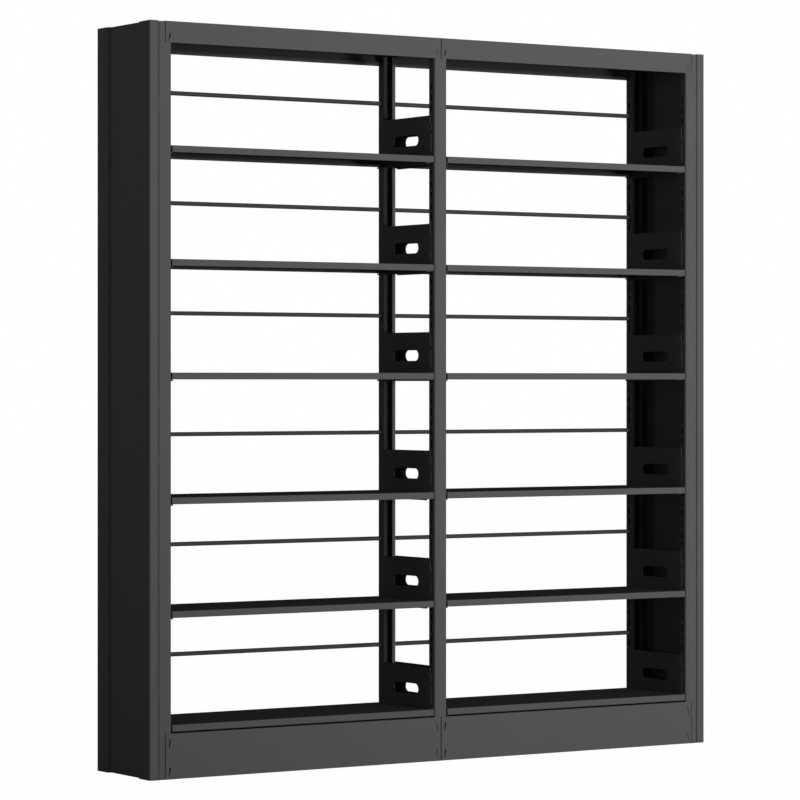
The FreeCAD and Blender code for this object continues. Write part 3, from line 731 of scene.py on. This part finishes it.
pull(x=STRIP_STEP, z=STRIP_SLOPE)
pull(z=PLATE_TOP - STRIP_FOOT - STRIP_SLOPE)
pick(plate, "edges", lambda at, way: near(at.z, PLATE_FOOT) and along(way, "y"))
pull(x=LEDGE)
pull(z=-LEDGE_LIP)
pick(plate, "edges", lambda at, way: near(at.z, PLATE_FOOT) and near(at.x, INNER + LEDGE)
     and along(way, "y"))
bend(LEDGE_BEND, steps=3)
pick(plate, "faces", lambda at, way: True)
bpy.ops.mesh.normals_make_consistent(inside=False)
bpy.ops.object.mode_set(mode="OBJECT")
strip = next(face for face in plate.data.polygons if face.center.z > mm(STRIP_FOOT + STRIP_SLOPE))
if strip.normal.x < 0:
    turn_over(plate)
thicken(plate, PLATE_SHEET)
for seat in (FIRST_SEAT, FIRST_SEAT + 2 * PITCH):
    for side in (-1, 1):
        join_to(plate, drop_hook(0, side, seat))

DECKS = [FIRST_DECK + PITCH * steps for steps in (0, 10, 20, 31, 41, 51)]
HALF_OPENING = BAY / 2 - HALF_COLUMN
for bay, middle in (("left", -BAY / 2), ("right", BAY / 2)):
    for tier, deck in enumerate(DECKS, start=1):
        half = copy_of(plate, "half", (middle - HALF_OPENING, 0, deck))
        pair = copy_of(plate, f"bracket_pair_{bay}_{tier}_pressed", (middle + HALF_OPENING, 0, deck),
                       True)
        join_to(pair, half)
        finish(pair, shelf_coat)
        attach(pair, f"brackets_{bay}_{tier}")
        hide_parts(f"bracket_pair_{bay}_{tier}")
bpy.data.objects.remove(plate)


# ---- Shelves --------------------------------------------------------------------------------
# Tray shelves of 1 mm sheet, folded down at the front and rear, back under and up again as
# stiffeners, with the two ends folded down to close the tray.

SHELF_FRONT = -145
SHELF_REAR = 127
SHELF_LONG = 826.8
SHELF_EDGE = 18
SHELF_UNDER = 15
SHELF_STIFFENER = 8
SHELF_END = 17
SHELF_BEND = 1.6
SHELF_SHEET = 1

shelf = start_from_plane("shelf_tray", (0, (SHELF_FRONT + SHELF_REAR) / 2, 0),
                         (SHELF_LONG, SHELF_REAR - SHELF_FRONT))
for side, line in ((-1, SHELF_FRONT), (1, SHELF_REAR)):
    pick(shelf, "edges", lambda at, way: near(at.y, line) and near(at.z, 0))
    pull(z=-SHELF_EDGE)
    pull(y=-SHELF_UNDER * side)
    pull(z=SHELF_STIFFENER)
for side in (-1, 1):
    pick(shelf, "edges", lambda at, way: near(at.x, side * SHELF_LONG / 2) and near(at.z, 0)
         and along(way, "y"))
    pull(z=-SHELF_END)
pick(shelf, "edges", lambda at, way: along(way, "x") and (near(at.z, 0) or near(at.z, -SHELF_EDGE))
     or along(way, "y") and near(at.z, 0))
bend(SHELF_BEND, steps=3)
thicken(shelf, SHELF_SHEET)
for bay, middle in (("left", -BAY / 2), ("right", BAY / 2)):
    for tier, deck in enumerate(DECKS, start=1):
        tray = copy_of(shelf, f"shelf_{bay}_{tier}_tray", (middle, 0, deck))
        finish(tray, shelf_coat)
        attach(tray, f"shelf_{bay}_{tier}")
        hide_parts(f"shelf_{bay}_{tier}")
bpy.data.objects.remove(shelf)


# ---- Stop rails -----------------------------------------------------------------------------
# Narrow closed tubes with a rounded front keep the books from sliding off the rear edge. Their
# coat is darker than the rest as painted shade, for the shade deep inside the rack. They hook
# into the column slots.

# Painted shade: the rails' coat is darker than the shelves' to stand for the shade inside the rack.
rail_coat_painted_shade = powder_coat("rail_powder_coat_painted_shade", shade=0.058, cloud=0.05, grain=0.08, sheen=0.55, peel=320)
for bay in ("left", "right"):
    for tier in range(1, len(DECKS) + 1):
        finish(nodes[f"stop_rail_{bay}_{tier}"], rail_coat_painted_shade)


# ---- Floor, lamps and camera ----------------------------------------------------------------
# A pale studio floor and white surroundings. Two keys shine from far ahead, one of them fading
# towards the left and the floor, with a weak lamp nearer the rack. Dim lamps light the left end,
# the rear and the right end.

FLOOR_SIDE = 80000


def seen_rays(tree):
    """1 for rays from the camera, straight, mirrored or through glass."""
    path = tree.nodes.new("ShaderNodeLightPath")
    total = path.outputs["Is Camera Ray"]
    for label in ("Is Glossy Ray", "Is Transmission Ray"):
        both = tree.nodes.new("ShaderNodeMath")
        both.operation = "ADD"
        both.use_clamp = True
        tree.links.new(total, both.inputs[0])
        tree.links.new(path.outputs[label], both.inputs[1])
        total = both.outputs[0]
    return total


def pale_floor():
    """A floor that is seen as mostly white with the lit floor's shadows in it."""
    pale = bpy.data.materials.new("pale_floor")
    pale.use_nodes = True
    tree = pale.node_tree
    shader = tree.nodes["Principled BSDF"]
    shader.inputs["Base Color"].default_value = (0.5, 0.5, 0.5, 1)
    shader.inputs["Roughness"].default_value = 0.9
    shader.inputs["Specular IOR Level"].default_value = 0
    glow = tree.nodes.new("ShaderNodeEmission")
    glow.inputs["Strength"].default_value = 1.16
    share = tree.nodes.new("ShaderNodeMath")
    share.operation = "MULTIPLY"
    share.inputs[1].default_value = 0.85
    blend = tree.nodes.new("ShaderNodeMixShader")
    tree.links.new(seen_rays(tree), share.inputs[0])
    tree.links.new(share.outputs[0], blend.inputs["Fac"])
    tree.links.new(shader.outputs[0], blend.inputs[1])
    tree.links.new(glow.outputs[0], blend.inputs[2])
    tree.links.new(blend.outputs[0], tree.nodes["Material Output"].inputs["Surface"])
    return pale


def white_studio():
    """Surroundings that are white to the camera and light the rack only a little."""
    studio = bpy.data.worlds.new("studio")
    studio.use_nodes = True
    tree = studio.node_tree
    tree.nodes.clear()
    surround = tree.nodes.new("ShaderNodeBackground")
    backdrop = tree.nodes.new("ShaderNodeBackground")
    for light, strength in ((surround, 0.11), (backdrop, 1)):
        light.inputs["Color"].default_value = (1, 1, 1, 1)
        light.inputs["Strength"].default_value = strength
    blend = tree.nodes.new("ShaderNodeMixShader")
    tree.links.new(seen_rays(tree), blend.inputs["Fac"])
    tree.links.new(surround.outputs[0], blend.inputs[1])
    tree.links.new(backdrop.outputs[0], blend.inputs[2])
    tree.links.new(blend.outputs[0], tree.nodes.new("ShaderNodeOutputWorld").inputs["Surface"])
    return studio


floor = start_from_plane("floor", (0, 0, 0), (FLOOR_SIDE, FLOOR_SIDE))
finish(floor, pale_floor())
bpy.context.scene.world = white_studio()


def lamp_at(name, kind, place, aim):
    """A lamp at a place in metres, turned to what it is aimed at."""
    lamp = bpy.data.objects.new(name, bpy.data.lights.new(name, kind))
    bpy.context.collection.objects.link(lamp)
    lamp.location = place
    lamp.rotation_euler = (Vector(aim) - Vector(place)).to_track_quat("-Z", "Y").to_euler()
    return lamp.data


def spot_at(name, place, aim, watts, soft, cone, fade):
    """A spot lamp of some watts, with its soft size in metres and its cone in degrees."""
    spot = lamp_at(name, "SPOT", place, aim)
    spot.energy = watts
    spot.shadow_soft_size = soft
    spot.spot_size = math.radians(cone)
    spot.spot_blend = fade


KEY_PLACE = (2, -48, 1.9)
spot_at("steady_key", KEY_PLACE, (0.3, 0, 0.9), watts=28900, soft=3.2, cone=20.6, fade=0.3)
spot_at("fading_key", KEY_PLACE, (1.6, 0, 2.5), watts=43300, soft=1, cone=10.48, fade=1)
near_side = lamp_at("near_side_lamp", "AREA", (2.5, -7.2, 1.1), (0, 0, 1))
near_side.shape = "DISK"
near_side.size = 1
near_side.energy = 97
for name, place in (("left_front_fill", (-14, -7, 1.9)), ("left_rear_fill", (-14, 7, 1.9))):
    spot_at(name, place, (0, 0, 2.6), watts=720, soft=3, cone=20.6, fade=1)
spot_at("left_lamp", (-20, -0.5, 1.2), (0, 0, 1.9), watts=740, soft=1, cone=17, fade=1)
for name, place, strength in (("rear_lamp", (1.5, 24, 1), 0.5),
                              ("right_lamp", (24, 1, 1), 0.4)):
    side_lamp = lamp_at(name, "SUN", place, (0, 0, 0.9))
    side_lamp.energy = strength * math.pi
    side_lamp.angle = math.radians(5)

camera = bpy.data.objects.new("camera", bpy.data.cameras.new("camera"))
bpy.context.collection.objects.link(camera)
camera.location = (-5.4166, -8.3135, 1.0492)
camera.rotation_euler = (math.radians(90), 0, math.radians(-32.891))
camera.data.sensor_width = 36
camera.data.lens = 159.33
camera.data.shift_y = -0.02306
camera.data.clip_end = 200
bpy.context.scene.camera = camera
bpy.context.scene.view_settings.view_transform = "Standard"
